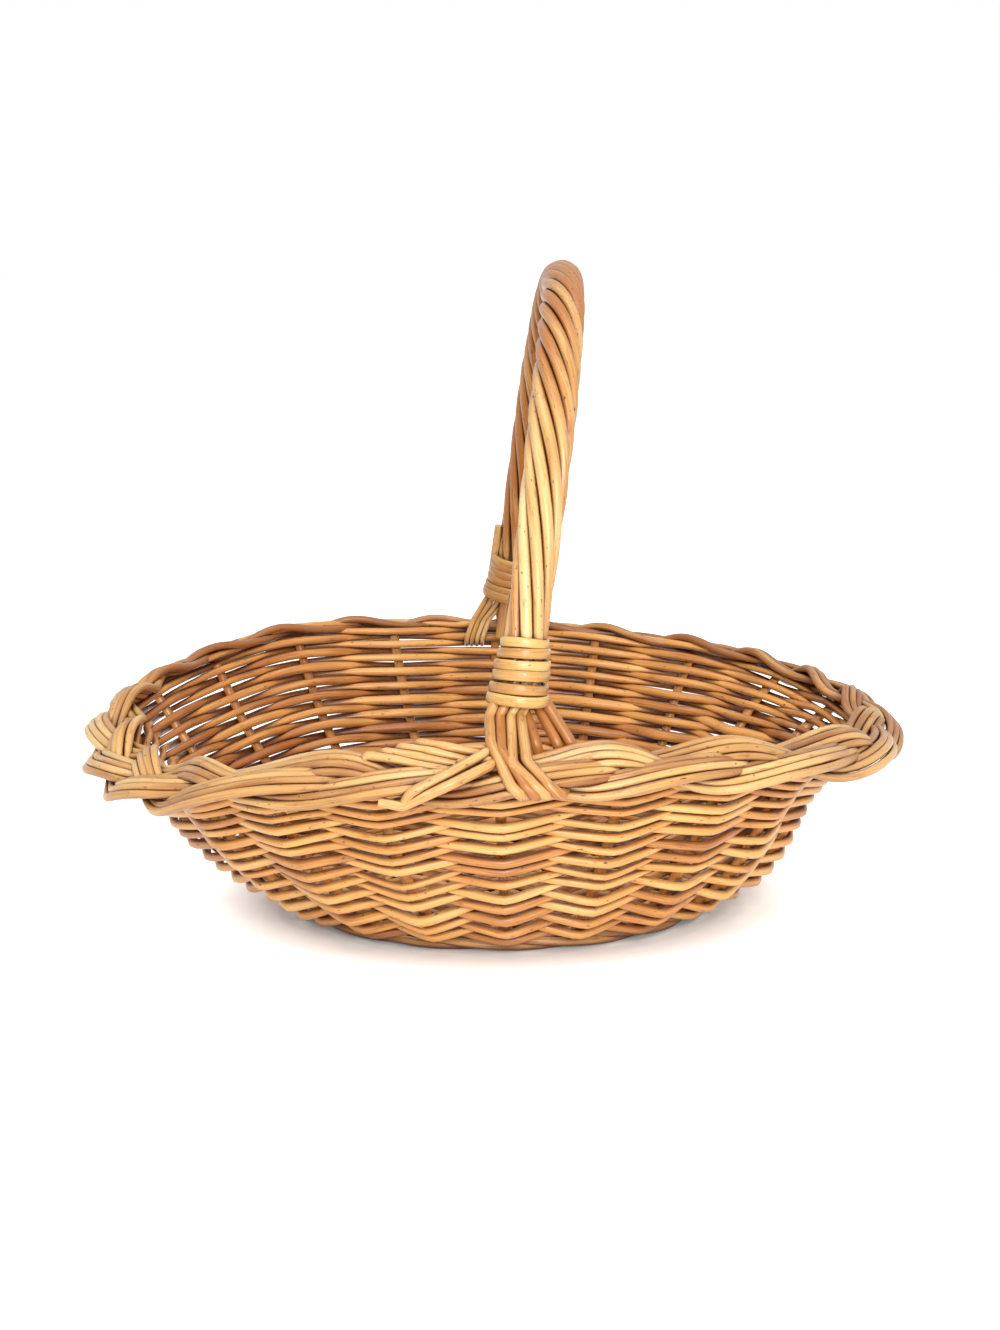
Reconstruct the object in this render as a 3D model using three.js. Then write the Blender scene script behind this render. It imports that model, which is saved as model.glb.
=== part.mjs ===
// Gathering basket of willow rods: oval base, flared woven wall, plaited border, roped handle.
// Millimetres, +Z up, +X along the long axis, the origin on the floor under the middle.
import * as THREE from 'three';

// Plan and heights
const BASE_LENGTH = 212;
const BASE_WIDTH = 170;
const BASE_SHIFT = 5; // the base lies a little towards +X of the mouth
const MOUTH_LENGTH = 368;
const MOUTH_WIDTH = 316;
const SIDE_HEIGHT = 107; // top of the weave beside the handle
const END_HEIGHT = 87; // top of the weave at both ends
const WALL_BULGE = 0.44; // how much sooner the wall spreads than it rises
const FULL_END = 0.06; // how much fuller the -X end is than the +X end
const FIRST_STAKE = THREE.MathUtils.degToRad(-95);

// Rods
const CLEARANCE = 0.3;
const STAKE_COUNT = 20;
const STAKE_DIAMETER = 5.2;
const WEAVER_DIAMETER = 3.5;
const BASE_STICK_DIAMETER = 4.4;
const BASE_WEAVER_DIAMETER = 3.2;
const LONG_STICKS = 3;
const CROSS_STICKS = 5;
const WEAVER_PIECES = 4; // pieces that each chasing wall rod is laid in

// Foot wale
const WALE_WIDTH = 12;
const WALE_HEIGHT = 5;
const WALE_OVERHANG = 1; // how far the wale reaches outside the stakes' line
const WALE_SEAT = 4; // how far the base sticks lie on the wale

// Border plait
const PLAIT_PERIODS = 7;
const PLAIT_STRANDS = 3;
const PLAIT_SWAY = 9.8; // a strand's sideways swing
const STRAND_WIDTH = 10;
const STRAND_THICKNESS = 4.8;
const PLAIT_OUT = 12; // the plait's middle, outside the top of the weave
const PLAIT_UP = 6; // and above it
const PLAIT_TILT = THREE.MathUtils.degToRad(34);

// Handle
const HANDLE_TOP = 332;
const HANDLE_SPAN = 282; // between the legs' middles at their feet
const HANDLE_LEAN = THREE.MathUtils.degToRad(7.7);
const HANDLE_SHIFT = 3.7; // the legs stand a little towards +X of their stakes
const HANDLE_CORE_DIAMETER = 8.2;
const HANDLE_RODS = 8;
const HANDLE_ROD_DIAMETER = 4.8;
const HANDLE_TURNS = 3;
const LAY_SLACK = 0.5; // the lay is longer on the legs and shorter over the top
const ROD_PLAY = 1; // how loosely the rods' feet lie on the border and the wall
const OUTSIDE_SWEEP = 24; // how far along the border a rod's foot sweeps outside
const INSIDE_SWEEP = 18; // and inside
const BINDING_TURNS = 6;
const BINDING_DIAMETER = 4.2;
const BINDING_GAP = 1; // between neighbouring turns on a straight leg
const BINDING_LIFT = 26; // the first turn, above the border's middle

const material = (color) => new THREE.MeshStandardMaterial({ color, roughness: 0.6 });
const WILLOW = material(0xd2a566);
const DARK_WILLOW = material(0xa8743c);
const PALE_WILLOW = material(0xe2bd80);

const basket = new THREE.Group();
basket.name = 'gathering_basket';

const { lerp } = THREE.MathUtils;
const UP = new THREE.Vector3(0, 0, 1);
const vec = (x, y, z) => new THREE.Vector3(x, y, z);

// A closed body: one outline carried along a path, square to it at every point.
function sweep(path, normals, outline, closed = false) {
  const count = path.length;
  const sides = outline.length;
  const positions = [];
  path.forEach((point, i) => {
    const before = path[closed ? (i + count - 1) % count : Math.max(i - 1, 0)];
    const after = path[closed ? (i + 1) % count : Math.min(i + 1, count - 1)];
    const arrive = point.clone().sub(before).normalize();
    const leave = after.clone().sub(point).normalize();
    const along = arrive.add(leave).normalize();
    const normal = normals[i].clone().addScaledVector(along, -normals[i].dot(along)).normalize();
    const across = normal.clone().cross(along);
    outline.forEach(([a, n]) => {
      const corner = point.clone().addScaledVector(across, a).addScaledVector(normal, n);
      positions.push(corner.x, corner.y, corner.z);
    });
  });
  const index = [];
  const spans = closed ? count : count - 1;
  for (let i = 0; i < spans; i += 1) {
    const ring = i * sides;
    const next = ((i + 1) % count) * sides;
    for (let k = 0; k < sides; k += 1) {
      const m = (k + 1) % sides;
      index.push(ring + k, next + m, ring + m, ring + k, next + k, next + m);
    }
  }
  if (!closed) {
    const last = (count - 1) * sides;
    for (let k = 1; k < sides - 1; k += 1) {
      index.push(0, k, k + 1, last, last + k + 1, last + k);
    }
  }
  const geometry = new THREE.BufferGeometry();
  geometry.setAttribute('position', new THREE.Float32BufferAttribute(positions, 3));
  geometry.setIndex(index);
  geometry.computeVertexNormals();
  return geometry;
}

function round(diameter, sides) {
  const corner = (k) => (2 * Math.PI * (k + 0.5)) / sides;
  const place = (k) => [(Math.sin(corner(k)) * diameter) / 2, (Math.cos(corner(k)) * diameter) / 2];
  return Array.from({ length: sides }, (_, k) => place(k));
}

// A flat outline with cut corners, listed the same way round as a round one.
function flat(width, height) {
  const w = width / 2;
  const h = height / 2;
  const c = h / 2;
  return [[w - c, h], [w, 0], [w - c, -h], [c - w, -h], [-w, 0], [c - w, h]];
}

function addPiece(name, geometry, look) {
  const mesh = new THREE.Mesh(geometry, look);
  mesh.name = name;
  basket.add(mesh);
}

// The wall's middle surface: rise 0 at the base edge, 1 at the top of the weave.
const WALL_FOOT = WALE_HEIGHT + CLEARANCE + STAKE_DIAMETER / 2;

function planPoint(angle, spread) {
  const halfLength = lerp(BASE_LENGTH, MOUTH_LENGTH, spread) / 2;
  const halfWidth = lerp(BASE_WIDTH, MOUTH_WIDTH, spread) / 2;
  const fullness = 1 - FULL_END * Math.cos(angle) * spread;
  const x = halfLength * Math.cos(angle) + BASE_SHIFT * (1 - spread);
  return vec(x, halfWidth * Math.sin(angle) * fullness, 0);
}

// A point of the base, a share of the way from its middle to its edge.
const BASE_MIDDLE = vec(BASE_SHIFT, 0, 0);

function basePoint(angle, share) {
  return BASE_MIDDLE.clone().lerp(planPoint(angle, 0), share);
}

function wallPoint(angle, rise) {
  const point = planPoint(angle, rise + WALL_BULGE * rise * (1 - rise));
  const height = lerp(SIDE_HEIGHT, END_HEIGHT, Math.cos(angle) ** 2);
  point.z = lerp(WALL_FOOT, height, rise);
  return point;
}

const STEP = 1e-3;

function wallUp(angle, rise) {
  return wallPoint(angle, rise + STEP).sub(wallPoint(angle, rise - STEP)).normalize();
}

function wallNormal(angle, rise) {
  const around = wallPoint(angle + STEP, rise).sub(wallPoint(angle - STEP, rise));
  return around.cross(wallUp(angle, rise)).normalize();
}

// The rise that lies a share of the way up the slant at one angle.
const SLANT_STEPS = 48;

function slant(angle) {
  const lengths = [0];
  for (let i = 1; i <= SLANT_STEPS; i += 1) {
    const piece = wallPoint(angle, i / SLANT_STEPS).distanceTo(wallPoint(angle, (i - 1) / SLANT_STEPS));
    lengths.push(lengths[i - 1] + piece);
  }
  return lengths;
}

function riseAt(lengths, share) {
  const target = share * lengths[SLANT_STEPS];
  const i = Math.max(1, lengths.findIndex((length) => length >= target));
  return (i - 1 + (target - lengths[i - 1]) / (lengths[i] - lengths[i - 1])) / SLANT_STEPS;
}

// Base: sticks that cross in the middle and fan out to evenly spread ends
const SPOKES = 2 * (LONG_STICKS + CROSS_STICKS);
const SPOKE_Z = WALE_HEIGHT + CLEARANCE + BASE_STICK_DIAMETER / 2;
const LAYER = (BASE_STICK_DIAMETER + CLEARANCE) / 2; // half the step between the crossed layers
const STICK_PITCH = BASE_STICK_DIAMETER + 2 * CLEARANCE;
const FAN_START = 0.42;
const SPOKE_END = 1 - (2 * (WALE_WIDTH - WALE_OVERHANG - WALE_SEAT)) / BASE_WIDTH;

function spokePoint(spoke, share) {
  return basePoint((2 * Math.PI * spoke) / SPOKES, share).setZ(SPOKE_Z);
}

function baseStick(name, start, end, middle) {
  const path = [spokePoint(start, SPOKE_END), spokePoint(start, FAN_START), ...middle];
  path.push(spokePoint(end, FAN_START), spokePoint(end, SPOKE_END));
  addPiece(name, sweep(path, path.map(() => UP), round(BASE_STICK_DIAMETER, 6)), DARK_WILLOW);
}

const slathLength = ((CROSS_STICKS + 1) * STICK_PITCH) / 2;
const slathWidth = ((LONG_STICKS + 1) * STICK_PITCH) / 2;
for (let k = 0; k < LONG_STICKS; k += 1) {
  const spoke = k - (LONG_STICKS - 1) / 2;
  const y = spoke * STICK_PITCH;
  const middle = [slathLength, -slathLength].map((x) => vec(BASE_SHIFT + x, y, SPOKE_Z + LAYER));
  baseStick(`base_stick_long_${k + 1}`, spoke, SPOKES / 2 - spoke, middle);
}
for (let k = 0; k < CROSS_STICKS; k += 1) {
  const spoke = k - (CROSS_STICKS - 1) / 2;
  const x = BASE_SHIFT - spoke * STICK_PITCH;
  const middle = [slathWidth, -slathWidth].map((y) => vec(x, y, SPOKE_Z - LAYER));
  baseStick(`base_stick_cross_${k + 1}`, SPOKES / 4 + spoke, -SPOKES / 4 - spoke, middle);
}

// Base weave: two rods that chase each other outward over and under the stick ends
const BASE_WEAVE_START = FAN_START + 0.04;
const baseMargin = WALE_WIDTH - WALE_OVERHANG + BASE_WEAVER_DIAMETER / 2 + 2 * CLEARANCE;
const BASE_WEAVE_END = 1 - (2 * baseMargin) / BASE_WIDTH;
const baseWeaveDepth = ((BASE_WEAVE_END - BASE_WEAVE_START) * BASE_WIDTH) / 2;
const BASE_ROUNDS = Math.floor(baseWeaveDepth / (2 * (BASE_WEAVER_DIAMETER + 2 * CLEARANCE)));
const BASE_WAVE = 1.2 * ((BASE_STICK_DIAMETER + BASE_WEAVER_DIAMETER) / 2 + CLEARANCE);

for (let rod = 0; rod < 2; rod += 1) {
  const path = [];
  for (let step = 0; step <= BASE_ROUNDS * SPOKES; step += 1) {
    const row = 2 * (step / SPOKES) + rod;
    const share = lerp(BASE_WEAVE_START, BASE_WEAVE_END, row / (2 * BASE_ROUNDS + 1));
    const point = spokePoint(step, share);
    point.z += (step + rod) % 2 === 0 ? BASE_WAVE : -BASE_WAVE;
    path.push(point);
  }
  const geometry = sweep(path, path.map(() => UP), round(BASE_WEAVER_DIAMETER, 5));
  addPiece(`base_weaver_${rod + 1}`, geometry, WILLOW);
}

// Foot wale: the band that the basket stands on
const WALE_STEPS = 2 * STAKE_COUNT;
const walePath = Array.from({ length: WALE_STEPS }, (_, i) => {
  const angle = (2 * Math.PI * i) / WALE_STEPS;
  const point = planPoint(angle, 0);
  const outward = vec(Math.cos(angle), Math.sin(angle), 0);
  point.addScaledVector(outward, WALE_OVERHANG - WALE_WIDTH / 2);
  point.z = WALE_HEIGHT / 2;
  return point;
});
const waleOutline = flat(WALE_WIDTH, WALE_HEIGHT);
addPiece('foot_wale', sweep(walePath, walePath.map(() => UP), waleOutline, true), DARK_WILLOW);

// Border frame: the plait's middle line, its width direction and its face direction
function borderFrame(angle) {
  const around = wallPoint(angle + STEP, 1).sub(wallPoint(angle - STEP, 1)).setZ(0).normalize();
  const outward = vec(around.y, -around.x, 0);
  const middle = wallPoint(angle, 1).addScaledVector(outward, PLAIT_OUT).addScaledVector(UP, PLAIT_UP);
  const cos = Math.cos(PLAIT_TILT);
  const sin = Math.sin(PLAIT_TILT);
  const across = outward.clone().multiplyScalar(cos).addScaledVector(UP, -sin);
  const face = outward.clone().multiplyScalar(sin).addScaledVector(UP, cos);
  return { around, outward, middle, across, face };
}

const PLAIT_LIFT = 1.2 * STRAND_THICKNESS + CLEARANCE; // a strand's rise and fall through the plait
const PLAIT_HALF = PLAIT_LIFT + STRAND_THICKNESS / 2;
const PLAIT_REACH = PLAIT_SWAY + STRAND_WIDTH / 2;

// Stakes: from their seat on the wale up the wall and on to the underside of the plait
const STAKE_START = SPOKE_END + (4 * CLEARANCE) / BASE_WIDTH;

for (let k = 0; k < STAKE_COUNT; k += 1) {
  const angle = FIRST_STAKE + (2 * Math.PI * k) / STAKE_COUNT;
  const rises = [0, 0.2, 0.4, 0.6, 0.8, 1];
  const path = rises.map((rise) => wallPoint(angle, rise));
  const normals = rises.map((rise) => wallNormal(angle, rise));
  path.unshift(basePoint(angle, STAKE_START).setZ(WALL_FOOT));
  normals.unshift(UP.clone().negate());
  const frame = borderFrame(angle);
  const upward = wallUp(angle, 1);
  const top = wallPoint(angle, 1);
  const room = frame.middle.clone().sub(top).dot(frame.face);
  const reach = (room - PLAIT_HALF - CLEARANCE) / upward.dot(frame.face);
  path.push(top.addScaledVector(upward, reach));
  normals.push(wallNormal(angle, 1));
  const name = `stake_${String(k + 1).padStart(2, '0')}`;
  addPiece(name, sweep(path, normals, round(STAKE_DIAMETER, 6)), DARK_WILLOW);
}

// Wall weave: two rods that chase each other upward, in front of one stake and behind the next
const WEAVE_START = WEAVER_DIAMETER; // along the slant, from the base edge to the first row
const WEAVE_WAVE = 1.1 * ((STAKE_DIAMETER + WEAVER_DIAMETER) / 2 + CLEARANCE);
const endSlant = slant(0)[SLANT_STEPS] - WEAVE_START;
const WALL_ROUNDS = Math.floor((endSlant / (WEAVER_DIAMETER + CLEARANCE) - 1) / 2);
const slants = Array.from({ length: STAKE_COUNT }, (_, k) =>
  slant(FIRST_STAKE + (2 * Math.PI * k) / STAKE_COUNT));

function weaveKnot(step, rod) {
  const angle = FIRST_STAKE + (2 * Math.PI * step) / STAKE_COUNT;
  const lengths = slants[step % STAKE_COUNT];
  const start = WEAVE_START / lengths[SLANT_STEPS];
  const row = 2 * (step / STAKE_COUNT) + rod;
  const rise = riseAt(lengths, lerp(start, 1, row / (2 * WALL_ROUNDS + 1)));
  const normal = wallNormal(angle, rise);
  const side = (step + rod) % 2 === 0 ? WEAVE_WAVE : -WEAVE_WAVE;
  return { point: wallPoint(angle, rise).addScaledVector(normal, side), normal };
}

function weaveBetween(step, rod, share) {
  const from = weaveKnot(step, rod);
  const to = weaveKnot(step + 1, rod);
  return { point: from.point.lerp(to.point, share), normal: from.normal.lerp(to.normal, share) };
}

const HALF_JOINT = 0.02; // half the gap between one piece and the next, as a share of a stake gap
const wallSteps = WALL_ROUNDS * STAKE_COUNT;
const jointStep = (piece) => Math.floor((wallSteps * piece) / WEAVER_PIECES);
for (let rod = 0; rod < 2; rod += 1) {
  for (let piece = 0; piece < WEAVER_PIECES; piece += 1) {
    const first = jointStep(piece);
    const last = Math.min(jointStep(piece + 1), wallSteps - 1);
    const knots = [weaveBetween(first, rod, 0.5 + HALF_JOINT)];
    for (let step = first + 1; step < last + 1; step += 1) {
      knots.push(weaveKnot(step, rod));
    }
    knots.push(weaveBetween(last, rod, 0.5 - HALF_JOINT));
    const path = knots.map((knot) => knot.point);
    const normals = knots.map((knot) => knot.normal);
    const geometry = sweep(path, normals, round(WEAVER_DIAMETER, 5));
    addPiece(`wall_weaver_${rod === 0 ? 'a' : 'b'}${piece + 1}`, geometry, WILLOW);
  }
}

// Border: flat strands that swing from edge to edge of the plait and pass over each other
const PLAIT_STEPS = 12 * PLAIT_PERIODS;
for (let strand = 0; strand < PLAIT_STRANDS; strand += 1) {
  const path = [];
  const normals = [];
  for (let i = 0; i < PLAIT_STEPS; i += 1) {
    const angle = (2 * Math.PI * i) / PLAIT_STEPS;
    const phase = PLAIT_PERIODS * angle + (2 * Math.PI * strand) / PLAIT_STRANDS;
    const { middle, across, face } = borderFrame(angle);
    middle.addScaledVector(across, PLAIT_SWAY * Math.sin(phase));
    middle.addScaledVector(face, -PLAIT_LIFT * Math.sin(2 * phase));
    path.push(middle);
    normals.push(face);
  }
  const geometry = sweep(path, normals, flat(STRAND_WIDTH, STRAND_THICKNESS), true);
  addPiece(`border_strand_${strand + 1}`, geometry, PALE_WILLOW);
}

// Handle: an arch that leans towards +X, from one stake to the opposite one
const FEET = [FIRST_STAKE, FIRST_STAKE + Math.PI].map(borderFrame);
const feetMiddle = FEET[0].middle.clone().lerp(FEET[1].middle, 0.5).add(vec(HANDLE_SHIFT, 0, 0));
const towardNear = FEET[0].middle.clone().sub(FEET[1].middle).setZ(0).normalize();
const LAY_RADIUS = (HANDLE_CORE_DIAMETER + HANDLE_ROD_DIAMETER) / 2 + 3 * CLEARANCE;
const HANDLE_RADIUS = LAY_RADIUS + HANDLE_ROD_DIAMETER / 2;
const ARCH_HEIGHT = HANDLE_TOP - HANDLE_RADIUS - feetMiddle.z;
const ARCH_POINTS = 24;

const arch = new THREE.CatmullRomCurve3(Array.from({ length: ARCH_POINTS + 1 }, (_, i) => {
  const turn = (Math.PI * i) / ARCH_POINTS;
  const height = ARCH_HEIGHT * Math.sin(turn);
  const point = feetMiddle.clone().addScaledVector(towardNear, (HANDLE_SPAN / 2) * Math.cos(turn));
  return point.add(vec(height * Math.tan(HANDLE_LEAN), 0, height));
}));
const ARCH_LENGTH = arch.getLength();
const archSide = arch.getTangentAt(0).cross(arch.getTangentAt(0.5)).normalize();

function archFrame(share) {
  const along = arch.getTangentAt(share);
  return { point: arch.getPointAt(share), along, outward: archSide.clone().cross(along).negate() };
}

const CORE_STEPS = 28;
const coreFrames = Array.from({ length: CORE_STEPS + 1 }, (_, i) => archFrame(i / CORE_STEPS));
const coreGeometry = sweep(
  coreFrames.map((frame) => frame.point),
  coreFrames.map((frame) => frame.outward),
  round(HANDLE_CORE_DIAMETER, 6),
);
addPiece('handle_core', coreGeometry, DARK_WILLOW);

// Handle rods: roped round the core, then over the border outside or down the wall inside
const ROD_PITCH = 1.35 * HANDLE_ROD_DIAMETER + CLEARANCE; // the rods fan out a little at the feet
const ROPE_START = (BINDING_LIFT - BINDING_DIAMETER) / ARCH_LENGTH;
const ROPE_STEPS = 14 * HANDLE_TURNS;
const OVER_FACE = PLAIT_HALF + CLEARANCE + HANDLE_ROD_DIAMETER / 2;
const PAST_EDGE = PLAIT_REACH + CLEARANCE + HANDLE_ROD_DIAMETER / 2;
const INSIDE_WALL = WEAVE_WAVE + WEAVER_DIAMETER / 2 + CLEARANCE + HANDLE_ROD_DIAMETER / 2;
const footSpan = FEET[0].middle.distanceTo(FEET[1].middle);
const LEG_DEPTH = (footSpan - HANDLE_SPAN) / 2 - PLAIT_OUT; // a leg's foot, inside the top of the weave
const INSIDE_LEG = Math.max(LEG_DEPTH + LAY_RADIUS, INSIDE_WALL);

function lay(share) {
  return HANDLE_TURNS * (share - (LAY_SLACK * Math.sin(2 * Math.PI * share)) / (2 * Math.PI));
}

// The share of the rope's length where the lay has made a given part of its turns.
function layShare(part) {
  let low = 0;
  let high = 1;
  for (let i = 0; i < 40; i += 1) {
    const middle = (low + high) / 2;
    if (lay(middle) < part * HANDLE_TURNS) low = middle;
    else high = middle;
  }
  return low;
}

function ropePoint(rod, part) {
  const share = layShare(part);
  const { point, outward } = archFrame(lerp(ROPE_START, 1 - ROPE_START, share));
  const angle = (2 * Math.PI * (rod + 0.5)) / HANDLE_RODS + 2 * Math.PI * HANDLE_TURNS * part;
  const radial = outward.clone().multiplyScalar(Math.cos(angle));
  radial.addScaledVector(archSide, Math.sin(angle));
  return { point: point.addScaledVector(radial, LAY_RADIUS), normal: radial };
}

// How far a foot still lies towards its shifted leg, once it has swept part of its way.
function underLeg(swept) {
  return vec(HANDLE_SHIFT * Math.max(0, 1 - 5 * swept), 0, 0);
}

// The way from the rope to the tip of one rod, at one foot.
function rodFoot(foot, outside, rank) {
  const { around, across, face, middle, outward } = FEET[foot];
  const beside = (rank - (HANDLE_RODS / 2 - 1) / 2) * ROD_PITCH;
  if (outside) {
    const places = [
      [-PLAIT_REACH - HANDLE_ROD_DIAMETER, OVER_FACE - ROD_PLAY, 0],
      [-PLAIT_REACH / 2, OVER_FACE + ROD_PLAY, 0.04],
      [PLAIT_REACH - STRAND_WIDTH / 4, OVER_FACE + ROD_PLAY, 0.2],
      [PAST_EDGE + 2 * ROD_PLAY, ROD_PLAY, 0.6],
      [PLAIT_REACH, -OVER_FACE, 1],
    ];
    return places.map(([a, f, swept]) => ({
      point: middle.clone().addScaledVector(across, a).addScaledVector(face, f)
        .addScaledVector(around, beside + swept * OUTSIDE_SWEEP).add(underLeg(swept)),
      normal: around,
    }));
  }
  const angle = FIRST_STAKE + foot * Math.PI;
  const places = [
    [1, INSIDE_LEG + ROD_PLAY, 0.1],
    [0.86, INSIDE_WALL + 4 * ROD_PLAY, 0.5],
    [0.7, INSIDE_WALL + 3 * ROD_PLAY, 1],
  ];
  return places.map(([rise, depth, swept]) => ({
    point: wallPoint(angle, rise).addScaledVector(outward, -depth)
      .addScaledVector(around, beside + swept * INSIDE_SWEEP).add(underLeg(swept)),
    normal: around,
  }));
}

for (let rod = 0; rod < HANDLE_RODS; rod += 1) {
  const angle = (2 * Math.PI * (rod + 0.5)) / HANDLE_RODS;
  const outside = Math.cos(angle) > 0;
  const half = HANDLE_RODS / 2;
  const rank = outside ? (half / 2 - 1 - rod + HANDLE_RODS) % HANDLE_RODS : rod - half / 2;
  const stations = rodFoot(0, outside, rank).reverse();
  for (let i = 0; i <= ROPE_STEPS; i += 1) {
    stations.push(ropePoint(rod, i / ROPE_STEPS));
  }
  stations.push(...rodFoot(1, outside, half - 1 - rank));
  const path = stations.map((station) => station.point);
  const normals = stations.map((station) => station.normal);
  addPiece(`handle_rod_${rod + 1}`, sweep(path, normals, round(HANDLE_ROD_DIAMETER, 5)), PALE_WILLOW);
}

// Bindings: one winding round each leg, in turns that lie side by side
const LOOP_STEPS = 16;
const BINDING_RADIUS = (HANDLE_RADIUS + CLEARANCE + BINDING_DIAMETER / 2) / Math.cos(Math.PI / LOOP_STEPS);
const BINDING_PITCH = BINDING_DIAMETER + BINDING_GAP;

function leastGap(path, apart) {
  let least = Infinity;
  for (let i = 0; i < path.length; i += 1) {
    for (let j = i + apart; j < path.length; j += 1) {
      least = Math.min(least, path[i].distanceTo(path[j]));
    }
  }
  return least;
}

['near', 'far'].forEach((side, foot) => {
  const path = [];
  const normals = [];
  for (let i = 0; i <= BINDING_TURNS * LOOP_STEPS; i += 1) {
    const distance = BINDING_LIFT + (BINDING_PITCH * i) / LOOP_STEPS;
    const share = distance / ARCH_LENGTH;
    const { point, outward } = archFrame(foot === 0 ? share : 1 - share);
    const turn = (2 * Math.PI * i) / LOOP_STEPS;
    const radial = outward.multiplyScalar(-Math.cos(turn)).addScaledVector(archSide, Math.sin(turn));
    path.push(point.addScaledVector(radial, BINDING_RADIUS));
    normals.push(radial);
  }
  const lead = path[0].clone().sub(path[1]).setLength(BINDING_DIAMETER);
  const tail = path[path.length - 1].clone().sub(path[path.length - 2]).setLength(BINDING_DIAMETER);
  path.unshift(path[0].clone().add(lead));
  normals.unshift(normals[0]);
  path.push(path[path.length - 1].clone().add(tail));
  normals.push(normals[normals.length - 1]);
  const gap = leastGap(path, LOOP_STEPS / 2) - BINDING_DIAMETER;
  console.log(`handle_binding_${side}: least gap between turns ${gap.toFixed(2)} mm`);
  addPiece(`handle_binding_${side}`, sweep(path, normals, round(BINDING_DIAMETER, 5)), PALE_WILLOW);
});

export default basket;
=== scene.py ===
"""Gathering basket: the looks of every rod, with the camera at the photograph's angle.

Sizes are in millimetres, as in the part's source, and become metres where a mesh is made.
Angles go round the mouth from +X, and the near foot of the handle stands at the first stake.
"""
import bpy
import math
import numpy as np
from collections import namedtuple
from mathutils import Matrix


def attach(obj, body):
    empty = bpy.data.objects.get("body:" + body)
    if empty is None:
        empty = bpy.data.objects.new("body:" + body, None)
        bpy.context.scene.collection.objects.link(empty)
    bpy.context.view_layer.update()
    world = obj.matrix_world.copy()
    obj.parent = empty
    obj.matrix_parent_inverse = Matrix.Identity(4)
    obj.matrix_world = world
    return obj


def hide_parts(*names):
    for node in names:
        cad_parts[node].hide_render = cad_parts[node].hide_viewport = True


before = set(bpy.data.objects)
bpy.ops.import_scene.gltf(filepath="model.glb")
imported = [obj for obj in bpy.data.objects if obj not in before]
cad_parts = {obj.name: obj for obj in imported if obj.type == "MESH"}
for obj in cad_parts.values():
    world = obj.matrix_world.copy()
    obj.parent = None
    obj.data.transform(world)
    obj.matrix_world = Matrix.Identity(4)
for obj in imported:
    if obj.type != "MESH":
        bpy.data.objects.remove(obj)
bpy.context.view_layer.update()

MM = 0.001
TAU = 2 * math.pi
UP = np.array([0.0, 0.0, 1.0])
SMALL = 1e-3  # half the step over which a direction is taken

# Plan, heights and counts, as in the part's source
BASE_LENGTH = 212
BASE_WIDTH = 170
BASE_SHIFT = 5
MOUTH_LENGTH = 368
MOUTH_WIDTH = 316
SIDE_HEIGHT = 107
END_HEIGHT = 87
WALL_BULGE = 0.44
FULL_END = 0.06
FIRST_STAKE = math.radians(-95)
WALL_FOOT = 7.9
STAKES = 20
WALL_ROUNDS = 13
WEAVER_PIECES = 4
WEAVE_START = 3.5
PLAIT_PERIODS = 7
PLAIT_STRANDS = 3
PLAIT_OUT = 12
PLAIT_UP = 6
PLAIT_TILT = math.radians(34)
HANDLE_TOP = 332
HANDLE_SPAN = 282
HANDLE_LEAN = math.radians(7.7)
HANDLE_SHIFT = 3.7
HANDLE_RODS = 8
HANDLE_TURNS = 3
HANDLE_RADIUS = 9.8
LAY_SLACK = 0.5
BINDING_TURNS = 6
BINDING_LIFT = 26

# The photographed wall's ends: a fuller left, a leaner right, and how much sooner each spreads at its foot
LEFT_FULLER = 0.25
RIGHT_LEANER = 0.3
LEFT_SKEW = 0.5
RIGHT_SKEW = 2.8

# The photograph's camera
CAMERA_TARGET = (1.6, 0.2, 126.6)
CAMERA_DISTANCE = 1267
CAMERA_ELEVATION = math.radians(12.0)
CAMERA_TURN = math.radians(6.35)
CAMERA_LENS = 66.7
SENSOR_HEIGHT = 36

# First seed of each kind of rod
LONG_STICK_SEED = 200
CROSS_STICK_SEED = 210
BASE_WEAVER_SEED = 220
WALE_SEED = 230
STAKE_SEED = 300
WEAVER_SEEDS = (400, 500)
BORDER_SEED = 700
FOLDED_SEED = 760
CORE_SEED = 800
HANDLE_SEED = 810
FINISHED_SEED = 830
LINER_SEED = 840
BINDING_SEED = 920

rng = np.random.default_rng(7)


# Number helpers

def lerp(a, b, t):
    return a + (b - a) * t


def smoothstep(a, b, t):
    t = np.clip((t - a) / (b - a), 0, 1)
    return t * t * (3 - 2 * t)


def unit(v):
    return v / np.linalg.norm(v, axis=-1, keepdims=True)


def wander(positions, spacing, seed, count=512):
    """Smooth noise between -1 and 1 along a length: one knot every spacing, repeating after a count."""
    knots = np.random.default_rng(seed).uniform(-1, 1, count)
    place = np.asarray(positions, float) / spacing
    cell = np.floor(place).astype(int)
    t = place - cell
    t = t * t * (3 - 2 * t)
    return lerp(knots[cell % count], knots[(cell + 1) % count], t)


def wander_round(angle, count, seed):
    """The same noise round the basket, with a count of knots in one round."""
    return wander(angle, TAU / count, seed, count)


def spline(points, per_span):
    """A smooth path through a few points."""
    p = np.asarray(points, float)
    p = np.vstack([2 * p[0] - p[1], p, 2 * p[-1] - p[-2]])
    t = np.linspace(0, 1, per_span, endpoint=False)[:, None]
    out = []
    for a, b, c, d in zip(p, p[1:], p[2:], p[3:]):
        square = 2 * a - 5 * b + 4 * c - d
        cube = 3 * b - a - 3 * c + d
        out.append(0.5 * (2 * b + (c - a) * t + square * t**2 + cube * t**3))
    out.append(p[-2:-1])
    return np.vstack(out)


def lengths_along(path):
    steps = np.linalg.norm(np.diff(path, axis=0), axis=1)
    return np.concatenate([[0], np.cumsum(steps)])


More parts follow.
